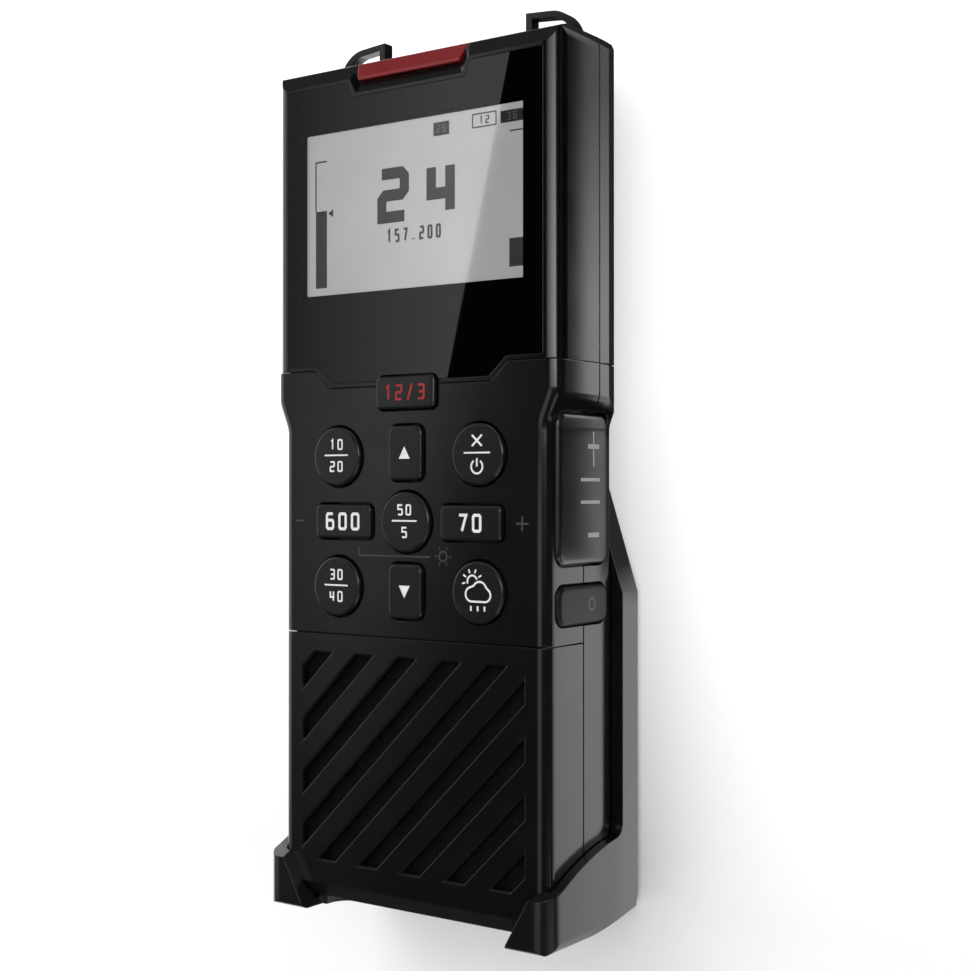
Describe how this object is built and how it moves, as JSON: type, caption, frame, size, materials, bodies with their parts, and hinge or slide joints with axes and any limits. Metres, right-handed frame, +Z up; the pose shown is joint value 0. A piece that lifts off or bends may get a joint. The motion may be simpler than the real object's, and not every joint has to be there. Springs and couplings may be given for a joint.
{
  "type": "wireless vhf marine radio handset in charging cradle",
  "caption": "Black wireless VHF marine radio handset with display, keypad, slotted speaker and red distress cover, seated in a wall-mounted inductive charging cradle.",
  "frame": {"origin": "centre of the cradle's four wall screws, on the wall plane", "axes": "+Z up, +Y into the wall, +X to the right seen from the front"},
  "size_m": [0.0666, 0.032, 0.1705],
  "materials": {
    "shell_plastic": "fine-textured black polycarbonate",
    "gloss_plastic": "polished black",
    "lens": "hard-coated clear lens",
    "mask_ink": "black ink printed behind the lens",
    "lcd": "pale grey liquid crystal display",
    "light_guide": "white light guide",
    "key_rubber": "hard-coated black silicone",
    "black_rubber": "black silicone",
    "red_plastic": "translucent red polycarbonate",
    "cradle_plastic": "fine-textured black polycarbonate",
    "mesh_fabric": "black woven acoustic mesh",
    "speaker_parts": "coated steel basket and cone",
    "steel": "stainless steel",
    "copper": "enamelled copper",
    "ferrite": "dark grey ferrite sheet",
    "circuit_board": "green solder mask",
    "battery_wrap": "dark blue heat-shrink sleeve"
  },
  "bodies": {
    "cradle": {"cradle_body": "cradle_plastic", "cradle_lid": "cradle_plastic", "cradle_lid_screws": "steel", "cradle_coil": "copper", "cradle_ferrite": "ferrite", "cradle_board": "circuit_board", "cradle_gland": "black_rubber"},
    "handset": {"front_shell": "shell_plastic", "rear_shell": "shell_plastic", "display_bezel": "gloss_plastic", "display_lens": "lens", "speaker_cover": "shell_plastic", "display_mask": "mask_ink", "lcd_panel": "lcd", "backlight": "light_guide", "main_board": "circuit_board", "rf_shield": "steel", "dome_sheet": "steel", "keypad_mat": "black_rubber", "speaker_mesh": "mesh_fabric", "speaker": "speaker_parts", "microphone": "steel", "battery_pack": "battery_wrap", "handset_coil": "copper", "handset_ferrite": "ferrite", "antenna": "copper", "shell_gasket": "black_rubber", "shell_screws": "steel", "distress_hinge_pin": "steel"},
    "key_channel": {"key_channel": "key_rubber"},
    "key_upper_left": {"key_upper_left": "key_rubber"},
    "key_up": {"key_up": "key_rubber"},
    "key_power": {"key_power": "key_rubber"},
    "key_left": {"key_left": "key_rubber"},
    "key_ok": {"key_ok": "key_rubber"},
    "key_right": {"key_right": "key_rubber"},
    "key_lower_left": {"key_lower_left": "key_rubber"},
    "key_down": {"key_down": "key_rubber"},
    "key_weather": {"key_weather": "key_rubber"},
    "side_rocker": {"side_rocker": "key_rubber"},
    "side_key": {"side_key": "key_rubber"},
    "ptt_key": {"ptt_key": "key_rubber"},
    "distress_cover": {"distress_cover": "red_plastic"},
    "distress_button": {"distress_button": "red_plastic"}
  },
  "joints": [
    {"name": "handset_lift", "type": "slide", "parent": "cradle", "child": "handset", "axis": [0, 0, 1], "range_m": [0, 0.09]},
    {"name": "key_channel_press", "type": "slide", "parent": "handset", "child": "key_channel", "axis": [0, 1, 0], "range_m": [0, 0.0008], "stiffness_N_per_m": 1800},
    {"name": "key_upper_left_press", "type": "slide", "parent": "handset", "child": "key_upper_left", "axis": [0, 1, 0], "range_m": [0, 0.0008], "stiffness_N_per_m": 1800},
    {"name": "key_up_press", "type": "slide", "parent": "handset", "child": "key_up", "axis": [0, 1, 0], "range_m": [0, 0.0008], "stiffness_N_per_m": 1800},
    {"name": "key_power_press", "type": "slide", "parent": "handset", "child": "key_power", "axis": [0, 1, 0], "range_m": [0, 0.0008], "stiffness_N_per_m": 1800},
    {"name": "key_left_press", "type": "slide", "parent": "handset", "child": "key_left", "axis": [0, 1, 0], "range_m": [0, 0.0008], "stiffness_N_per_m": 1800},
    {"name": "key_ok_press", "type": "slide", "parent": "handset", "child": "key_ok", "axis": [0, 1, 0], "range_m": [0, 0.0008], "stiffness_N_per_m": 1800},
    {"name": "key_right_press", "type": "slide", "parent": "handset", "child": "key_right", "axis": [0, 1, 0], "range_m": [0, 0.0008], "stiffness_N_per_m": 1800},
    {"name": "key_lower_left_press", "type": "slide", "parent": "handset", "child": "key_lower_left", "axis": [0, 1, 0], "range_m": [0, 0.0008], "stiffness_N_per_m": 1800},
    {"name": "key_down_press", "type": "slide", "parent": "handset", "child": "key_down", "axis": [0, 1, 0], "range_m": [0, 0.0008], "stiffness_N_per_m": 1800},
    {"name": "key_weather_press", "type": "slide", "parent": "handset", "child": "key_weather", "axis": [0, 1, 0], "range_m": [0, 0.0008], "stiffness_N_per_m": 1800},
    {"name": "rocker_tilt", "type": "hinge", "parent": "handset", "child": "side_rocker", "pos_m": [0.03, -0.01815, 0.0383], "axis": [0, 1, 0], "range_deg": [-2.2, 2.2], "stiffness_Nm_per_rad": 0.6},
    {"name": "side_key_press", "type": "slide", "parent": "handset", "child": "side_key", "axis": [-1, 0, 0], "range_m": [0, 0.0006], "stiffness_N_per_m": 2500},
    {"name": "ptt_press", "type": "slide", "parent": "handset", "child": "ptt_key", "axis": [1, 0, 0], "range_m": [0, 0.0008], "stiffness_N_per_m": 3000},
    {"name": "distress_cover_hinge", "type": "hinge", "parent": "handset", "child": "distress_cover", "pos_m": [0, -0.0179, 0.1199], "axis": [-1, 0, 0], "range_deg": [0, 95], "stiffness_Nm_per_rad": 0.006, "springref_deg": -34.38},
    {"name": "distress_press", "type": "slide", "parent": "handset", "child": "distress_button", "axis": [0, 0, -1], "range_m": [0, 0.0008], "stiffness_N_per_m": 1500}
  ]
}
